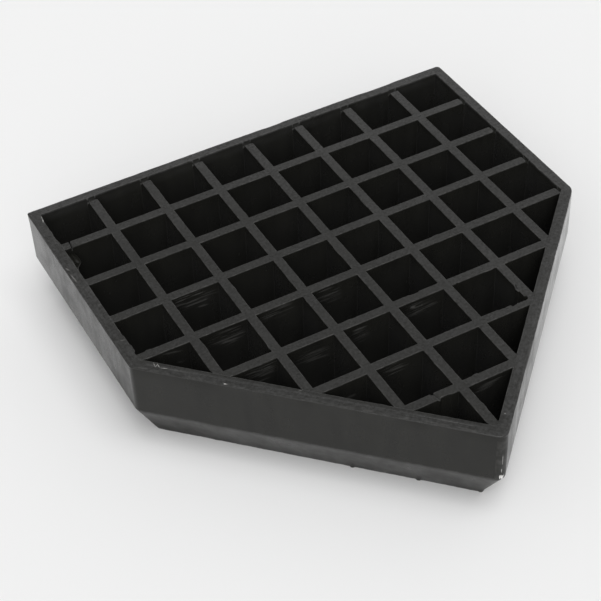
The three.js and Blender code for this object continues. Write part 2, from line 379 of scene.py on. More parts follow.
def uneven(plan, recipe):
    """A middle value with layers of noise on it, at plan points."""
    level, *layers = recipe
    return level + sum(height * wander(plan, size, seed) for height, size, seed in layers)


def plan_corners(offset):
    """Corners of the plan, grown outwards from the white face, anticlockwise from front right."""
    side = FACE_HALF + offset
    front = FRONT_LINE + offset
    shoulder = FRONT_LINE - FACE_SIDE - (math.sqrt(2) - 1) * offset
    point = FRONT_LINE - FACE_SIDE - FACE_HALF - math.sqrt(2) * offset
    return np.array([(side, front), (-side, front), (-side, shoulder), (0, point), (side, shoulder)])


def drawn_in(corners, insets):
    """The corners of an outline after each of its sides has moved inwards by its own amount."""
    normals = edge_normals(corners)
    limits = (corners * normals).sum(axis=1) - insets
    pairs = [[k - 1, k] for k in range(len(corners))]
    return np.array([np.linalg.solve(normals[pair], limits[pair]) for pair in pairs])


def edge_normals(corners):
    along = np.roll(corners, -1, axis=0) - corners
    along /= np.linalg.norm(along, axis=1, keepdims=True)
    return np.column_stack([along[:, 1], -along[:, 0]])


class Outline:
    """A convex outline with rounded corners. All the rings taken from it have the same points."""

    def __init__(self, corners, radius, spacing, arc_steps, fine_places=(), fine_spacing=FINE_SPACING):
        self.corners = np.array(corners, float)
        leaving = edge_normals(self.corners)
        arriving = np.roll(leaving, 1, axis=0)
        bend = 1 + (leaving * arriving).sum(axis=1, keepdims=True)
        self.spread = (leaving + arriving) / bend
        centres = self.corners - radius * self.spread
        self.corner, self.share, self.normal = [], [], []
        for k in range(len(self.corners)):
            self._add_arc(k, arriving[k], leaving[k], arc_steps)
            start = centres[k] + radius * leaving[k]
            end = centres[(k + 1) % len(centres)] + radius * leaving[k]
            self._add_side(k, start, end, leaving[k], spacing, fine_places, fine_spacing)
        self.corner = np.array(self.corner)
        self.share = np.array(self.share)[:, None]
        self.normal = np.array(self.normal)

    def _add_arc(self, k, arriving, leaving, steps):
        first = math.atan2(arriving[1], arriving[0])
        turn = math.acos(np.clip(arriving @ leaving, -1, 1))
        for step in range(steps + 1):
            angle = first + turn * step / steps
            self._add(k, 0.0, (math.cos(angle), math.sin(angle)))

    def _add_side(self, k, start, end, normal, spacing, fine_places, fine_spacing):
        length = np.linalg.norm(end - start)
        margin = NEAR_CORNER[-1] * 1.5
        count = max(round(length / fine_spacing), 2)
        keep_each = max(round(spacing / fine_spacing), 1)
        shares = {d / length for d in NEAR_CORNER} | {1 - d / length for d in NEAR_CORNER}
        for step in range(1, count):
            here = start + (end - start) * step / count
            fine = any(np.hypot(*(here - place)) < reach for place, reach in fine_places)
            clear = margin < step / count * length < length - margin
            if clear and (fine or step % keep_each == 0):
                shares.add(step / count)
        for share in sorted(shares):
            self._add(k, share, normal)

    def _add(self, corner, share, normal):
        self.corner.append(corner)
        self.share.append(share)
        self.normal.append(normal)

    def ring(self, offset, radius):
        """Plan points at an offset outwards. The radius is one for all corners, or one for each."""
        radii = np.broadcast_to(np.asarray(radius, float), len(self.corners))
        centres = self.corners + (offset - radii)[:, None] * self.spread
        after = (self.corner + 1) % len(self.corners)
        here = centres[self.corner] + radii[self.corner, None] * self.normal
        there = centres[after] + radii[after, None] * self.normal
        return here * (1 - self.share) + there * self.share


def add_object(name, data):
    """A new object in the scene."""
    item = bpy.data.objects.new(name, data)
    bpy.context.scene.collection.objects.link(item)
    return item


class Surface:
    """Collects rings of points and the faces between them."""

    def __init__(self):
        self.points = []
        self.looks = []  # wear, bloom with painted light, and dullness of each point
        self.faces = []

    def ring(self, plan, height, wear=0.0, bloom_and_painted_light=0.0, dull=0.0):
        first = len(self.points)
        columns = [np.broadcast_to(values, len(plan)) for values in (height, wear, bloom_and_painted_light, dull)]
        for (x, y), z, *looks in zip(plan, *columns):
            self.points.append((x, y, z))
            self.looks.append(looks)
        return np.arange(first, len(self.points))

    def inwards(self, above, *ring):
        """A ring inside the one above it, with the faces between them."""
        below = self.ring(*ring)
        self.strip(below, above)
        return below

    def outwards(self, above, *ring):
        """A ring outside the one above it, with the faces between them."""
        below = self.ring(*ring)
        self.strip(above, below)
        return below

    def strip(self, inner, outer):
        """Faces between two rings, outwards from the first to the second."""
        quads = zip(inner, outer, np.roll(outer, -1), np.roll(inner, -1))
        self.faces.extend(tuple(int(i) for i in quad) for quad in quads)

    def cap(self, ring):
        self.faces.append(tuple(int(i) for i in ring))

    def build(self, name):
        mesh = bpy.data.meshes.new(name)
        mesh.from_pydata(self.points, [], self.faces)
        mesh.shade_smooth()
        for label, values in zip(("wear", "bloom_and_painted_light", "dull"), np.array(self.looks, np.float32).T):
            attribute = mesh.attributes.new(label, "FLOAT", "POINT")
            attribute.data.foreach_set("value", np.ascontiguousarray(values))
        attribute = mesh.attributes.new("brush", "FLOAT_VECTOR", "POINT")
        plan = np.array(self.points)[:, :2]
        attribute.data.foreach_set("vector", brush_places(plan).astype(np.float32).ravel())
        return add_object(name, mesh)


def clip_by(corners, normal, limit):
    """The part of a convex outline on the inner side of a line."""
    kept = []
    for k, here in enumerate(corners):
        there = corners[(k + 1) % len(corners)]
        a = here @ normal - limit
        b = there @ normal - limit
        if a <= 0:
            kept.append(here)
        if a * b < 0:
            kept.append(here + (there - here) * a / (a - b))
    return kept


INNER = plan_corners(SKIRT_OFFSET - WALL)
INNER_NORMALS = edge_normals(INNER)
INNER_LIMITS = (INNER * INNER_NORMALS).sum(axis=1)
ALONG = np.column_stack([-INNER_NORMALS[:, 1], INNER_NORMALS[:, 0]])


def beyond_sides(plan):
    """How far plan points lie outside the inner face of each side of the skirt, one column a side."""
    return np.asarray(plan) @ INNER_NORMALS.T - INNER_LIMITS


def beyond_inner(plan):
    """How far plan points lie outside the inner face of the skirt."""
    return beyond_sides(plan).max(axis=1)


def nearest_side(plan):
    """Which of the five sides each plan point belongs to."""
    return beyond_sides(plan).argmax(axis=1)


def setbacks(plan):
    """How far each rim's inner edge lies back at plan points, one column a side."""
    back = np.tile(SETBACK, (len(plan), 1))
    back[:, FRONT] -= SETBACK_LESS * smooth(*SETBACK_LESS_RUN, plan[:, 0])
    return back


def rim_share(plan, start=-STEP_HALF):
    """1 at plan points on the rim and 0 on the ribs, with a short run between them."""
    return smooth(start, STEP_HALF, (beyond_sides(plan) - RIB_END_BACK * setbacks(plan)).max(axis=1))


def edge_back(plan):
    """How a cell's edge moves with the inner edges of the rims beside it."""
    return (setbacks(plan) * smooth(*EDGE_RUN, beyond_sides(plan))) @ INNER_NORMALS


def notch_share(plan):
    """How much the ribs fall away beside the rims at plan points, from 0 to 1."""
    side = nearest_side(plan)
    reach = NOTCH_REACH[side]
    return smooth(-reach, -NOTCH_FULL * reach, beyond_inner(plan)) * (NOTCH_DEPTH[side] > 0)


def brush_places(plan):
    """How far each plan point is along its side and across the rim, and which side it is."""
    side = nearest_side(plan)
    return np.column_stack([(plan * ALONG[side]).sum(axis=1), beyond_inner(plan), side])


def brushed(plan, length, width, seed):
    """Noise in lines of the given length and width, along the rim that each plan point is on."""
    places = brush_places(plan)[:, :2]
    return wander(places * (width / length, 1.0), width, seed)


def cell_outlines():
    """Corners of every cell at the tops of its ribs: squares, and triangles along the slanted walls."""
    inner_side, inner_front = INNER[0]
    half = RIB / 2
    lefts = [-inner_side] + [x + half for x in COLUMN_LINES]
    rights = [x - half for x in COLUMN_LINES] + [inner_side]
    tops = [inner_front] + [y - half for y in ROW_LINES]
    bottoms = [y + half for y in ROW_LINES] + [INNER[POINT][1]]
    cells = []
    for bottom, top in zip(bottoms, tops):
        for left, right in zip(lefts, rights):
            corners = [np.array(c) for c in ((right, top), (left, top), (left, bottom), (right, bottom))]
            for normal, limit in zip(INNER_NORMALS[2:4], INNER_LIMITS[2:4]):
                corners = clip_by(corners, normal, limit)
            if len(corners) >= 3:
                cells.append(corners)
    return cells


def cut_depth(plan):
    """How deep the cuts in the tops go at plan points."""
    depth = np.zeros(len(plan))
    for start, end, half_width, deep in TOP_CUTS:
        start, end = np.array(start), np.array(end)
        along = end - start
        share = np.clip(((plan - start) @ along) / (along @ along), 0, 1)
        off = np.linalg.norm(plan - start - share[:, None] * along, axis=1)
        depth = np.maximum(depth, deep * (1 - smooth(half_width * CUT_FULL, half_width, off)))
    return depth


def ledge_width(plan):
    """How far the ledge beside the left slanted rim reaches out from the cells, at plan points."""
    ends = [np.hypot(*(plan - INNER[corner]).T) for corner in (LEFT_SLANT, POINT)]
    width = LEDGE * uneven(plan, LEDGE_UNEVEN) * smooth(*LEDGE_RUN, np.min(ends, axis=0))
    return width * (nearest_side(plan) == LEFT_SLANT)


def top_height(plan):
    """The rim, the slightly lower ribs with their notches, the ledge and the cuts."""
    on_rim = rim_share(plan)
    ledge = on_rim * smooth(STEP_HALF, -STEP_HALF, beyond_inner(plan) - ledge_width(plan))
    fall = NOTCH_DEPTH[nearest_side(plan)] * notch_share(plan) * (1 - on_rim)
    return RIB_TOP + (RIM_TOP - RIB_TOP) * on_rim - LEDGE_DROP * ledge - fall - cut_depth(plan)


def top_bloom_and_painted_light(plan):
    """How pale the tops are painted: the rim more than the ribs; the ribs paler to the right and the
    front as a painted reflection, and darker in their notches as painted shade.
    """
    side = nearest_side(plan)
    beyond = beyond_inner(plan)
    # Painted reflection: the ribs are painted paler towards the right and the front.
    rib = RIB_BLOOM + FAR_PAINTED_REFLECTION * (smooth(*RIGHT_RUN, plan[:, 0]) + smooth(*FRONT_RUN, plan[:, 1]))
    # Painted shade: the ribs are painted darker in their notches beside the rims.
    rib *= 1 - NOTCH_PAINTED_SHADE[side] * notch_share(plan)
    rim = RIM_BLOOM[side] * (1 + (LEDGE_TONE[side] - 1) * smooth(LEDGE * 1.15, LEDGE * 0.85, beyond))
    return rib + (rim - rib) * rim_share(plan, STEP_HALF * 0.5)


def edge_shift(plan):
    """How far a cell's edge moves back into the rubber at each of its points."""
    shift = uneven(plan, CELL_UNEVEN) - SKIN * smooth(*SKIN_RUN, uneven(plan, SKIN_UNEVEN))
    for x, y, half_x, half_y, amount in EDGE_FLAWS:
        away = np.maximum(abs(plan[:, 0] - x) / half_x, abs(plan[:, 1] - y) / half_y)
        ragged = uneven(plan, (1.0, (FLAW_RAGGED, FLAW_GRAIN, 21.0 + amount * 1000)))
        shift += amount * ragged * (1 - smooth(FLAW_FULL, 1.0, away))
    return shift


def fine_places():
    """Where the cells' edges need closer points."""
    places = []
    for x, y, half_x, half_y, _ in EDGE_FLAWS:
        places.append((np.array((x, y)), FLAW_ROOM + max(half_x, half_y)))
    for start, end, _, _ in TOP_CUTS:
        places.extend((np.array(p), CUT_ROOM) for p in (start, end))
    side, front = INNER[0]
    rib_ends = [(x, front) for x in COLUMN_LINES] + [(side, y) for y in ROW_LINES if y > INNER[RIGHT][1]]
    places.extend((np.array(p), RIB) for p in rib_ends)
    return places


def quarter_round(steps):
    """Shares of the way in and of the way down, round a quarter circle from flat to upright."""
    angles = [math.pi / 2 * k / steps for k in range(steps + 1)]
    return [(1 - math.sin(a), 1 - math.cos(a)) for a in angles]


def add_cell(surface, corners, places):
    """One open cell. Returns the ring of points round it on top of the ribs."""
    outline = Outline(corners, CELL_RADIUS, CELL_SPACING, CELL_ARC_STEPS, places)
    edge = outline.ring(0, CELL_RADIUS)
    shift = edge_shift(edge)[:, None] * outline.normal + edge_back(edge)
    around = outline.ring(BRINK, CELL_RADIUS + BRINK) + shift
    tops = top_height(around)
    bloom_and_painted_light = top_bloom_and_painted_light(around)
    spared = 1 - notch_share(around) * (1 - rim_share(around))
    first = above = surface.ring(around, tops, BRINK_WEAR, bloom_and_painted_light)
    for inwards, downwards in quarter_round(ROUND_STEPS):
        offset = CELL_EDGE * inwards
        plan = outline.ring(offset, CELL_RADIUS + offset) + shift
        worn = (1 - (1 - EDGE_FOOT_WEAR) * downwards) * spared
        above = surface.inwards(above, plan, tops - CELL_EDGE * downwards, worn, bloom_and_painted_light)
    above = add_cell_walls(surface, outline, above, tops, shift)
    add_cell_floor(surface, outline, above)
    return first


def add_cell_walls(surface, outline, above, tops, shift):
    """The walls of a cell, with painted light: paler deeper down, where they face left, and at the top
    under two of the rims.
    """
    facing_left = np.clip(outline.normal[:, 0], 0, 1)
    at_rim = beyond_sides(outline.ring(0, CELL_RADIUS)) > -CELL_RADIUS
    under_rim = (RIM_PAINTED_LIGHT * at_rim).max(axis=1)
    for depth in CELL_DEPTHS:
        level = np.minimum(RIB_TOP - depth, tops - CELL_EDGE - depth * NOTCH_SLOPE)
        # Painted light: the walls that face left are painted paler, as the lamps light them less.
        painted_light = 1 + LEFT_PAINTED_LIGHT * facing_left * smooth(*LEFT_PAINTED_LIGHT_RUN, depth)
        # Painted light: the tops of the walls under the front and right rims are painted paler.
        painted_light = painted_light + under_rim * (depth < RIM_PAINTED_LIGHT_DEEP)
        # Painted light: the walls are painted paler deeper down, against the shade that deepens there.
        bloom_and_painted_light = painted_light * min(CELL_BLOOM + CELL_PAINTED_LIGHT_DEEPER * depth, CELL_BLOOM_AND_PAINTED_LIGHT_MOST)
        plan = outline.ring(-DRAFT * depth, CELL_RADIUS) + shift * max(0.0, 1 - depth / FLAW_DEPTH)
        above = surface.inwards(above, plan, level, 0.0, bloom_and_painted_light)
    return above


def add_cell_floor(surface, outline, above):
    """The floor of a cell, with the fillet round it."""
    wall = -DRAFT * (RIB_TOP - CELL_FLOOR)
    for inwards, downwards in quarter_round(ROUND_STEPS)[1:]:
        plan = outline.ring(wall - FLOOR_FILLET * downwards, CELL_RADIUS)
        above = surface.inwards(above, plan, CELL_FLOOR + FLOOR_FILLET * inwards, 0.0, CELL_BLOOM)
    plan = outline.ring(wall - FLOOR_FILLET * 1.4, CELL_RADIUS)
    surface.cap(surface.inwards(above, plan, CELL_FLOOR, 0.0, CELL_BLOOM))


def add_outside(surface):
    """The rim's outer edge, the skirt and the seat of the white slab. Returns the ring on the rim."""
    nubs = [(np.array(place), NUB_ROOM) for place in FOOT_NUBS]
    corners = drawn_in(plan_corners(0), WALL_INSET)
    outline = Outline(corners, SKIRT_RADIUS, SKIRT_SPACING, SKIRT_ARC_STEPS, nubs, NUB_SPACING)
    rings = add_rim_edge(surface, outline)
    add_seat(surface, outline, add_skirt(surface, outline, rings[-1]))
    return rings[0]


def rim_flash(outline, plain):
    """How far the flash stands out, hangs down and is undercut along the rim."""
    hang = hanging(plain)
    out = LIP * np.clip(uneven(plain, LIP_UNEVEN) + 0.5 * hang, 0, 1) * lip_share(plain)
    droop = LIP_DROP * uneven(plain, DROOP_UNEVEN) * by_side(DROOP_SHARES, plain)
    droop = droop + HANG * hang + edge_dips(plain)
    under = UNDERCUT * by_side(UNDER_SHARES, plain) * np.clip(uneven(plain, UNDER_UNEVEN), 0, 1)
    return out[:, None] * outline.normal, droop, under[:, None] * outline.normal


def add_rim_edge(surface, outline):
    """The rim's outer edge with its flash, as rings from the rim down to the wall."""
    plain = outline.ring(SKIRT_OFFSET, SKIRT_RADIUS)
    lip, droop, under = rim_flash(outline, plain)
    sides = (EDGE_ROUND, EDGE_RISE, EDGE_WEAR, LINE_WEAR)
    edge_round, edge_rise, edge_wear, line_wear = (by_side(values, plain) for values in sides)
    rings = []
    for inset, out, undercut, down, hanging_down, risen, wear, line, bloom_and_painted_light in EDGE_ROWS:
        plan = outline.ring(SKIRT_OFFSET - inset, SKIRT_RADIUS * LIP_CORNERS)
        plan = plan + lip * out - under * undercut
        height = RIM_TOP - down * edge_round - droop * hanging_down + BURR * edge_rise * risen
        dashes = brushed(plain, DASH_LENGTH, DASH_WIDTH, 40 + 9 * down / LIP_DROP)
        worn = (wear * edge_wear + line * line_wear) * np.clip(0.6 + 1.1 * dashes, 0, 1)
        dull = wall_dullness(plain) * (bloom_and_painted_light == 0)
        rings.append(surface.ring(plan, height, worn, bloom_and_painted_light * top_bloom_and_painted_light(plan), dull))
    for above, below in zip(rings, rings[1:]):
        surface.strip(above, below)
    return rings


def add_skirt(surface, outline, above):
    """The wall, the knee, the bevel and the foot. Returns the last ring."""
    plain = outline.ring(SKIRT_OFFSET, SKIRT_RADIUS)
    foot = foot_shift(outline.ring(FACE_BORDER, FACE_RADIUS))[:, None] * outline.normal
    chafed = POINT_WEAR * (outline.corner == POINT) * (outline.share[:, 0] == 0)
    shoulder_dull = SHOULDER_DULL * smooth(*SHOULDER_RUN, plain[:, 1]) * (nearest_side(plain) == LEFT)
    for offset, height, radii, wear, dull in skirt_profile():
        if height >= BEVEL_HEIGHT:
            wear = np.maximum(wear, chafed)
            dull = wall_dullness(plain) + shoulder_dull * smooth(*SHOULDER_DOWN_RUN, height)
        else:
            dull = dull * (1 + LEFT_BEVEL_DULL * smooth(*LEFT_BEVEL_RUN, plain[:, 0]))
        plan = outline.ring(offset, radii) + foot * smooth(*FOOT_RUN, height)
        above = surface.outwards(above, plan, height, wear, 0.0, dull)
    return above


def add_seat(surface, outline, above):
    """The black border on the underside, and the hollow that takes the white slab."""
    seat = FIT_GAP + WALL_INSET.max()
    for offset, height in ((FACE_BORDER - FOOT_IN * 1.8, 0.0), (seat, 0.0), (seat, SEAT_TOP)):
        above = surface.outwards(above, outline.ring(offset, FACE_RADIUS + offset), height)
    surface.cap(above[::-1])


def lip_share(plan):
    """How much flash the rim has kept at plan points. It fades out at the slanted sides' corners."""
    side = nearest_side(plan)
    to_corner = np.min([np.hypot(*(plan - corner).T) for corner in plan_corners(SKIRT_OFFSET)], axis=0)
    slanted = (side == LEFT_SLANT) | (side == RIGHT_SLANT)
    return LIP_SHARES[side] * np.where(slanted, smooth(*LIP_RUN, to_corner), 1.0)


def by_side(values, plan):
    """Each side's own value at the points of a ring, evened out over the corners."""
    steps = values[nearest_side(plan)]
    return np.mean([np.roll(steps, k) for k in range(-CORNER_BLEND, CORNER_BLEND + 1)], axis=0)


def edge_dips(plan):
    """How far the front rim's outer edge dips at plan points."""
    dips = np.zeros(len(plan))
    for across, half_length, depth in EDGE_DIPS:
        dips += depth * (1 - smooth(DIP_FULL, 1.0, abs(plan[:, 0] - across) / half_length))
    return dips * (nearest_side(plan) == FRONT)


def wall_dullness(plan):
    """How dull the walls are: each side by itself, and two of them different towards one end."""
    side = nearest_side(plan)
    dull = WALL_DULL[side]
    dull = dull + (FRONT_END_DULL - dull) * smooth(*FRONT_END_RUN, plan[:, 1]) * (side == LEFT)
    return dull + (POINT_DULL - dull) * smooth(*POINT_RUN, plan[:, 1]) * (side == RIGHT_SLANT)


def hanging(plan):
    """Where flash hangs over the left wall, from 0 to about 1, with a ragged lower edge."""
    y = plan[:, 1]
    from_front, from_back = HANG_FADES
    reach = smooth(HANG_FROM, HANG_FROM - from_front, y) * smooth(HANG_TO, HANG_TO + from_back, y)
    return reach * np.clip(uneven(plan, HANG_UNEVEN), 0, 1) * (nearest_side(plan) == LEFT)


def foot_shift(plan):
    """How far the foot stands out: a little uneven, with a few lumps of flash."""
    shift = uneven(plan, FOOT_UNEVEN)
    for place in FOOT_NUBS:
        shift += NUB * (1 - smooth(*NUB_SIZES, np.hypot(*(plan - place).T)))
    return shift


def skirt_profile():
    """Offset, height, corner radii, wear and dullness down the wall, the knee, the bevel and the foot."""
    wall, foot = SKIRT_OFFSET, FACE_BORDER
    slope = (wall - foot) / BEVEL_HEIGHT
    wall_radii = SKIRT_RADIUS * WALL_CORNERS

    def bevel(height):
        share = height / BEVEL_HEIGHT
        return foot + (wall - foot) * share, FACE_RADIUS + (wall_radii - FACE_RADIUS) * share

    above_knee = [BEVEL_HEIGHT + KNEE_ROUND * share for share in (4, 2)]
    rows = [(wall, z, wall_radii, 0.0, 0.0) for z in (*WALL_HEIGHTS, *above_knee)]
    for step in range(5):
        rise = KNEE_ROUND * (1 - step / 2)
        below = max(0.0, -rise)
        offset = wall - slope * below - KNEE_ROUND * KNEE_FLAT * math.sin(math.pi * step / 4)
        wear = KNEE_WEAR * math.sin(math.pi * (step + 1) / 6)
        rows.append((offset, BEVEL_HEIGHT + rise, wall_radii, wear, BEVEL_DULL))
    for share in BEVEL_SHARES:
        dull = FOOT_DULL + (BEVEL_DULL - FOOT_DULL) * share
        offset, radii = bevel(BEVEL_HEIGHT * share)
        rows.append((offset, BEVEL_HEIGHT * share, radii, 0.0, dull))
    for share in FOOT_SHARES:
        offset, radii = bevel(FOOT_UP * share)
        rows.append((offset - FOOT_IN * (1 - share) ** 2, FOOT_UP * share, radii, 0.0, FOOT_DULL))
    return rows


def side_places(first, short, spacing):
    """Places along the skirt's inner faces, each with the number of its side."""
    for side, corner in enumerate(INNER):
        length = np.linalg.norm(INNER[(side + 1) % len(INNER)] - corner)
        for distance in np.arange(first, length - short, spacing):
            yield side, corner + ALONG[side] * distance


def step_points():
    """Points along the small step up to the rim and along the ledge, between the rings of the cells."""
    points = []
    for side, foot in side_places(STEP_SPACING / 2, 0.0, STEP_SPACING):
        ledge = ledge_width((foot + INNER_NORMALS[side] * STEP_HALF)[None])[0]
        back = RIB_END_BACK * setbacks(foot[None])[0, side]
        steps = [back + off for off in STEP_ROWS]
        if ledge > LEDGE / 2:
            steps += [ledge - STEP_HALF, ledge + STEP_HALF]
        if NOTCH_DEPTH[side] > 0:
            steps += [-NOTCH_REACH[side] * share for share in NOTCH_ROWS]
        points.extend(foot + INNER_NORMALS[side] * off for off in steps)
    return points


def rim_points():
    """Rows of points that keep every rim flat between its edges."""
    last = WALL - WALL_INSET.max() - RIM_EDGE - 0.0006
    rows = [np.linspace(0.0021 + max(back, 0), last, 4) for back in SETBACK]
    rows[LEFT_SLANT] = (LEDGE * 0.45, LEDGE + 0.0018, last)
    points = []
    for side, foot in side_places(0.002, 0.001, RIM_SPACING):
        points.extend(foot + INNER_NORMALS[side] * off for off in rows[side])
    return points


def cut_points():
    """Close points round every cut, so that the top can follow it."""
    points = []
    for start, end, half_width, _ in TOP_CUTS:
        start, end = np.array(start), np.array(end)
        along = (end - start) / np.linalg.norm(end - start)
        across = np.array((-along[1], along[0]))
        for distance in np.arange(-0.0015, np.linalg.norm(end - start) + 0.0015, CUT_SPACING):
            here = start + along * distance
            points.extend(here + across * off for off in np.linspace(-2, 2, 9) * half_width)
    return points


def inside(polygon, place):
    """Whether a plan point lies in a closed outline."""
    x, y = place
    ahead = np.roll(polygon, -1, axis=0)
    spans = (polygon[:, 1] > y) != (ahead[:, 1] > y)
    rise = np.where(spans, ahead[:, 1] - polygon[:, 1], 1)
    crossing = polygon[:, 0] + (y - polygon[:, 1]) * (ahead[:, 0] - polygon[:, 0]) / rise
    return bool(np.count_nonzero(spans & (crossing > x)) % 2)


def add_top(surface, rim_ring, cell_rings):
    """The tops of the rim and the ribs, a flat web between the outer ring and the rings of the cells."""
    polygons = [np.array([surface.points[i][:2] for i in ring]) for ring in cell_rings]
    boxes = [(p.min(axis=0) - 0.0004, p.max(axis=0) + 0.0004) for p in polygons]

    def near(place):
        boxed = [(low < place).all() and (place < high).all() for low, high in boxes]
        return [polygon for polygon, within in zip(polygons, boxed) if within]

    def in_cell(place):
        return any(inside(polygon, place) for polygon in near(place))

    def at_cell(place):
        return any(np.hypot(*(polygon - place).T).min() < CELL_EDGE / 2 for polygon in near(place))

    points = step_points() + cut_points() + rim_points()
    extra = np.array([place for place in points if not in_cell(place) and not at_cell(place)])
    extra_ring = surface.ring(extra, top_height(extra), 0.0, top_bloom_and_painted_light(extra))
    ids, edges = [], []
    for ring in [rim_ring] + cell_rings:
        first = len(ids)
        ids.extend(int(i) for i in ring)
        edges.extend((first + k, first + (k + 1) % len(ring)) for k in range(len(ring)))
    ids.extend(int(i) for i in extra_ring)
    flat = [Vector(surface.points[i][:2]) for i in ids]
    places, _, triangles, sources, _, _ = delaunay_2d_cdt(flat, edges, [], 1, 1e-7)
    for triangle in triangles:
        centre = np.mean([places[i] for i in triangle], axis=0)
        if not in_cell(centre):
            surface.faces.append(tuple(ids[sources[i][0]] for i in triangle))


def add_flap(surface):
    """A thin half-moon of flash, rooted in the left wall just under the rim and sagging into the cell."""
    wall, top = INNER[LEFT][0], RIB_TOP - FLAP_DROP
    rings = []
    for share in np.linspace(0.02, 0.98, 25):
        y = FLAP_FROM + (FLAP_TO - FLAP_FROM) * share
        narrowed = 1 - 0.80 * smooth(0.45, 0.95, share)
        reach = FLAP_REACH * narrowed * (0.78 + 0.22 * smooth(0.0, 0.25, share))
        sag = FLAP_SAG + FLAP_SAG_MORE * reach
        across = [wall - FLAP_ROOT] + [wall + part * reach for part in (0.35, 0.7, 1.0)]
        upper = [top - sag * part for part in (0.1, 0.8, 1.0, 0.9)]
        lower = [z - FLAP_THICKNESS * part for z, part in zip(upper[::-1], (0.5, 1.0, 1.0, 1.0))]
        plan = [(x, y) for x in across + across[::-1]]
        # Painted light: the flap's free edge, which faces up into the light, is painted paler.
        painted_light_on_edge = [0.0, 0.0, 0.0, 0.15, 0.05, 0.0, 0.0, 0.0]
        rings.append(surface.ring(plan, upper + lower, 0.0, painted_light_on_edge))
    surface.cap(rings[0])
    for above, below in zip(rings, rings[1:]):
        surface.strip(above, below)
    surface.cap(rings[-1][::-1])


def moulded_base():
    """The whole black moulding as one skin: skirt, ribs, cells and the seat of the white slab."""
    surface = Surface()
    rim_ring = add_outside(surface)
    places = fine_places()
    cell_rings = [add_cell(surface, corners, places) for corners in cell_outlines()]
    add_top(surface, rim_ring, cell_rings)
    add_flap(surface)
    return surface.build("moulded_base")


def white_face():
    """The white slab, with its lower edge eased where it meets the black border."""
    surface = Surface()
    outline = Outline(plan_corners(0), FACE_RADIUS, FACE_SPACING, FACE_ARC_STEPS)
    ease = FACE_EASE
    rows = [(-ease * 2.2, 0.0, 0.2)]
    rows += [(-ease * inwards, ease * down, 1.0) for inwards, down in quarter_round(ROUND_STEPS)]
    rows += [(0.0, SEAT_TOP * 0.5, 0.0), (0.0, SEAT_TOP, 0.0)]
    rings = [surface.ring(outline.ring(offset, FACE_RADIUS), *looks) for offset, *looks in rows]
    surface.cap(rings[0][::-1])
    for below, above in zip(rings, rings[1:]):
        surface.strip(above, below)
    surface.cap(rings[-1])
    return surface.build("white_face")


class Nodes:
    """Short calls for building the nodes of a material or of the world."""

    def __init__(self, owner, place="Object"):
        owner.use_nodes = True
        self.owner = owner
        self.tree = owner.node_tree
        self.place = self.node("TexCoord", {}).outputs[place]

    def give(self, socket, value):
        """Links an output to a socket, or sets the socket's own value."""
        if isinstance(value, bpy.types.NodeSocket):
            self.tree.links.new(value, socket)
        else:
            socket.default_value = value

    def node(self, kind, inputs):
        """A new node with its inputs, by name or by number."""
        node = self.tree.nodes.new(f"ShaderNode{kind}")
        for key, value in inputs.items():
            self.give(node.inputs[key], value)
        return node

    def shade(self, inputs, shader="Principled BSDF"):
        """Gives the shader its inputs. Returns the material or the world."""
        for key, value in inputs.items():
            self.give(self.tree.nodes[shader].inputs[key], value)
        return self.owner

    def noise(self, scale, detail=4.0, roughness=0.55, stretch=None, place=None):
        place = place or self.place
        if stretch:
            place = self.node("Mapping", {"Vector": place, "Scale": stretch}).outputs["Vector"]
        inputs = {"Vector": place, "Scale": scale, "Detail": detail, "Roughness": roughness}
        return self.node("TexNoise", inputs).outputs["Fac"]

    def part(self, vector, axis):
        return self.node("SeparateXYZ", {"Vector": vector}).outputs[axis]

    def remap(self, value, low, high, to_low=0.0, to_high=1.0, run="LINEAR"):
        limits = {"From Min": low, "From Max": high, "To Min": to_low, "To Max": to_high}
        node = self.node("MapRange", {"Value": value, **limits})
        node.interpolation_type = run
        return node.outputs["Result"]

    def math(self, operation, a, b):
        node = self.node("Math", {0: a, 1: b})
        node.operation = operation
        return node.outputs["Value"]

    def vector_math(self, operation, *vectors):
        node = self.node("VectorMath", dict(enumerate(vectors)))
        node.operation = operation
        return node.outputs["Value"]

    def varied(self, value, amount):
        """1, more or less by a share of how far a noise is from its middle."""
        swing = self.remap(value, *NOISE_SPAN, -1.0, 1.0)
        return self.math("ADD", 1.0, self.math("MULTIPLY", swing, amount))

    def mix(self, factor, a, b):
        node = self.node("Mix", {})
        node.data_type = "RGBA"
        for key, value in (("Factor", factor), (6, a), (7, b)):
            self.give(node.inputs[key], (*value, 1.0) if isinstance(value, tuple) else value)
        return node.outputs[2]

    def paint(self, colour, mask, strength, paint):
        return self.mix(self.math("MULTIPLY", mask, strength), colour, paint)

    def attribute(self, name, output="Fac"):
        node = self.node("Attribute", {})
        node.attribute_name = name
        return node.outputs[output]

    def spot(self, place, half_sizes, turn, ragged, full=0.4):
        """A ragged ellipsoid at a place of the part: 0 outside it, 1 within a share of its half sizes."""
        inputs = {"Vector": self.place, "Location": place, "Rotation": turn, "Scale": half_sizes}
        mapping = self.node("Mapping", inputs)
        mapping.vector_type = "TEXTURE"
        away = self.vector_math("LENGTH", mapping.outputs["Vector"])
        return self.remap(self.math("ADD", away, ragged), 1.0, full)

    def bump(self, height, distance, strength=1.0, under=None):
        inputs = {"Height": height, "Distance": distance, "Strength": strength}
        if under is not None:
            inputs["Normal"] = under
        return self.node("Bump", inputs).outputs["Normal"]


def stroke(nodes, start, end, across, upright, ragged):
    """A thin ragged line between two places, with its half sizes across it on the level and upright."""
    start, end = Vector(start), Vector(end)
    along = end - start
    half_sizes = (along.length / 2 + min(across, upright), across, upright)
    return nodes.spot((start + end) / 2, half_sizes, along.to_track_quat("X", "Z").to_euler(), ragged)


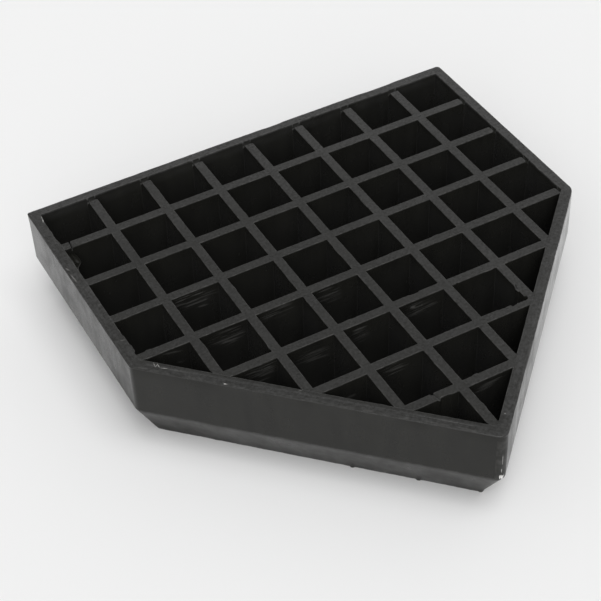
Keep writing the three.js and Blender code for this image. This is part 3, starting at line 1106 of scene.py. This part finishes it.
def smear(nodes, rib, start, end, half_width, ragged):
    """A stroke on the wall of a cell that faces the point."""
    wall = INNER[0][1] if rib == 0 else ROW_LINES[rib - 1] - RIB / 2
    ends = [(x, wall - DRAFT * (RIB_TOP - z), z) for x, z in (start, end)]
    return stroke(nodes, *ends, SMEAR_DEPTH, half_width, ragged)


def rubber_colour(m, grain):
    """Mottled black, paler by the bloom and painted light of each place and on worn edges."""
    mottle = m.noise(1.0, 4.0, 0.6, (70.0, 70.0, 14.0))
    colour = m.mix(m.remap(mottle, *NOISE_SPAN), BLACK_LOW, BLACK_HIGH)
    cloud = m.remap(m.noise(16.0, 5.0), *NOISE_SPAN, 0.85, 1.15)
    bloom_and_painted_light = m.math("MULTIPLY", m.attribute("bloom_and_painted_light"), cloud)
    brush = m.attribute("brush", "Vector")
    lines = m.noise(1.0, 3.0, 0.6, (45.0, 700.0, 9.0), brush)
    on_rim = m.remap(m.part(brush, "Y"), 0.0, 0.0008, 0.0, BRUSH)
    bloom_and_painted_light = m.math("MULTIPLY", bloom_and_painted_light, m.varied(lines, on_rim))
    on_top = m.remap(m.part(m.place, "Z"), RIB_TOP - 0.0012, RIB_TOP - 0.0006, 0.0, GRAIN)
    bloom_and_painted_light = m.math("MULTIPLY", bloom_and_painted_light, m.varied(grain, on_top))
    # The bloom is painted here together with the painted light of the cell walls, the flap and the ribs.
    colour = m.paint(colour, bloom_and_painted_light, BLOOM_AND_PAINTED_LIGHT_FULL, BLOOM_AND_PAINTED_LIGHT_GREY)
    worn = m.remap(m.attribute("wear"), 0.25, 1.0)
    patches = m.remap(m.noise(160.0, 5.0, 0.65), 0.45, 0.68, 0.0, 0.8)
    return m.mix(m.math("MULTIPLY", worn, patches), colour, WORN_GREY)


def smeared(m, colour):
    """A colour with the pale smears on the cell walls."""
    fibres = m.noise(1.0, 3.0, 0.6, (32.0, 32.0, 520.0))
    strands = m.remap(fibres, 0.47, 0.60)
    frayed = m.remap(fibres, *NOISE_SPAN, 0.5, -0.5)
    for rib, start, end, half_width, strength in SMEARS:
        mask = smear(m, rib, start, end, half_width, frayed)
        if half_width > BROAD_SMEAR:
            mask = m.math("MULTIPLY", mask, strands)
        colour = m.paint(colour, mask, strength, SMEAR_GREY)
    return colour


def scratched(m, colour):
    """A colour with the scratches, the tears, the chafing of the point and two painted highlights above
    it.
    """
    crumbs = m.remap(m.noise(1100.0, 3.0), 0.2, 0.8, -0.6, 0.6)
    for start, end, half_width, strength in SCRATCHES:
        mask = stroke(m, (*start, RIM_TOP), (*end, RIM_TOP), half_width, LIP, crumbs)
        colour = m.paint(colour, mask, strength, SCRATCH_WHITE)
    for start, end, strength in TEARS:
        mask = stroke(m, start, end, LIP, TEAR_HALF, crumbs)
        colour = m.paint(colour, mask, strength, SCRATCH_WHITE)
    teeth = m.remap(m.noise(1.0, 2.0, 0.5, (900.0, 900.0, 160.0)), 0.25, 0.75, -0.6, 0.6)
    # The chafe, and two painted highlights up the point's rounded edge.
    for place, half_sizes, strength in CHAFES_AND_HIGHLIGHTS:
        mask = m.spot(place, half_sizes, (0, 0, 0), teeth, 0.6)
        colour = m.paint(colour, mask, strength, CHAFE_AND_HIGHLIGHT_WHITE)
    return colour


def rubber_roughness(m, streaks):
    """Patchy satin with streaks, rougher where it is worn or dull."""
    satin = m.remap(m.noise(42.0, 4.0, 0.55), 0.35, 0.65, *SATIN)
    satin = m.math("ADD", satin, m.remap(streaks, 0.35, 0.7, -0.02, 0.03))
    dull = m.math("ADD", m.attribute("wear"), m.attribute("dull"))
    return m.math("ADD", satin, m.math("MULTIPLY", dull, DULL_ROUGHNESS))


def rubber_relief(m, grain, streaks):
    """Grain all over, with waves and streaks on the outside, where there is no bloom or painted light."""
    outside = m.remap(m.attribute("bloom_and_painted_light"), 0.0, 0.1, 1.0, 0.0)
    relief = m.bump(grain, 0.00008, 0.5)
    relief = m.bump(m.math("MULTIPLY", outside, m.noise(34.0, 3.0)), 0.0008, 0.35, relief)
    return m.bump(m.math("MULTIPLY", outside, streaks), 0.0003, 0.2, relief)


def black_rubber():
    """Satin carbon-black rubber with bloom and painted light, patchy gloss, worn edges, scratches, smears
    and painted highlights.
    """
    m = Nodes(bpy.data.materials.new("black_rubber"))
    grain = m.noise(400.0, 3.0, 0.7)
    streaks = m.noise(1.0, 4.0, 0.6, (150.0, 150.0, 9.0))
    return m.shade({
        "Base Color": scratched(m, smeared(m, rubber_colour(m, grain))),
        "Roughness": rubber_roughness(m, streaks),
        "Specular IOR Level": RUBBER_SHINE,
        "Normal": rubber_relief(m, grain, streaks),
    })


def white_rubber():
    """Matte white rubber with a fine grain, faint clouding and greyed edges."""
    m = Nodes(bpy.data.materials.new("white_rubber"))
    colour = m.mix(m.remap(m.noise(9.0, 5.0), *NOISE_SPAN), WHITE_LOW, WHITE_HIGH)
    scuffs = m.remap(m.noise(1.0, 6.0, 0.7, (30.0, 260.0, 30.0)), 0.60, 0.74, 0.0, 0.5)
    colour = m.mix(scuffs, colour, SCUFF_GREY)
    worn = m.math("MULTIPLY", m.attribute("wear"), m.remap(m.noise(70.0, 5.0), 0.4, 0.7))
    grain = m.bump(m.noise(1100.0, 2.0), 0.0001, 0.6)
    return m.shade({
        "Base Color": m.mix(worn, colour, EDGE_GREY),
        "Roughness": m.remap(m.noise(45.0, 4.0), *NOISE_SPAN, *MATTE),
        "Normal": m.bump(m.noise(60.0, 3.0), 0.0005, 0.3, grain),
    })


def floor():
    """A plain pale floor that keeps the object's shadow."""
    mesh = bpy.data.meshes.new("floor")
    corners = [(-1, -1), (1, -1), (1, 1), (-1, 1)]
    points = [(x * FLOOR_HALF, y * FLOOR_HALF, FLOOR_LEVEL) for x, y in corners]
    mesh.from_pydata(points, [], [(0, 1, 2, 3)])
    looks = {"Base Color": FLOOR_GREY, "Roughness": 1.0, "Specular IOR Level": 0.0}
    mesh.materials.append(Nodes(bpy.data.materials.new("floor")).shade(looks))
    stage = add_object("floor", mesh)


def direction(bearing, height):
    level = math.cos(math.radians(height))
    turn = math.radians(bearing)
    return Vector((level * math.cos(turn), level * math.sin(turn), math.sin(math.radians(height))))


def room():
    """A pale even room, brighter where a backdrop stands behind the plate."""
    w = Nodes(bpy.data.worlds.new("room"), "Generated")
    facing = w.vector_math("DOT_PRODUCT", w.place, direction(BACKDROP_BEARING, BACKDROP_HEIGHT))
    levels = (ROOM_LEVEL, ROOM_LEVEL + BACKDROP_LEVEL)
    strength = w.remap(facing, *BACKDROP_RUN, *levels, "SMOOTHSTEP")
    looks = {"Color": (1.0, 1.0, 1.0, 1.0), "Strength": strength}
    bpy.context.scene.world = w.shade(looks, "Background")


def lamps():
    for name, (bearing, height, spread, power) in SOFT_LAMPS.items():
        data = bpy.data.lights.new(name, "SUN")
        data.energy = power
        data.angle = math.radians(spread)
        lamp = add_object(name, data)
        lamp.rotation_euler = direction(bearing, height).to_track_quat("Z", "Y").to_euler()


def camera():
    data = bpy.data.cameras.new("camera")
    data.sensor_width = SENSOR_WIDTH
    data.lens = LENS
    place = add_object("camera", data)
    place.location = CAMERA_PLACE
    place.rotation_euler = Euler([math.radians(angle) for angle in CAMERA_TURN])
    bpy.context.scene.camera = place


def place_piece(piece, material, nodes):
    piece.data.materials.append(material)
    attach(piece, "root")
    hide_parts(*nodes)


black_nodes = [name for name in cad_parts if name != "playing_surface"]
place_piece(moulded_base(), black_rubber(), black_nodes)
place_piece(white_face(), white_rubber(), ["playing_surface"])
floor()
room()
lamps()
camera()
bpy.context.scene.view_settings.view_transform = "Standard"
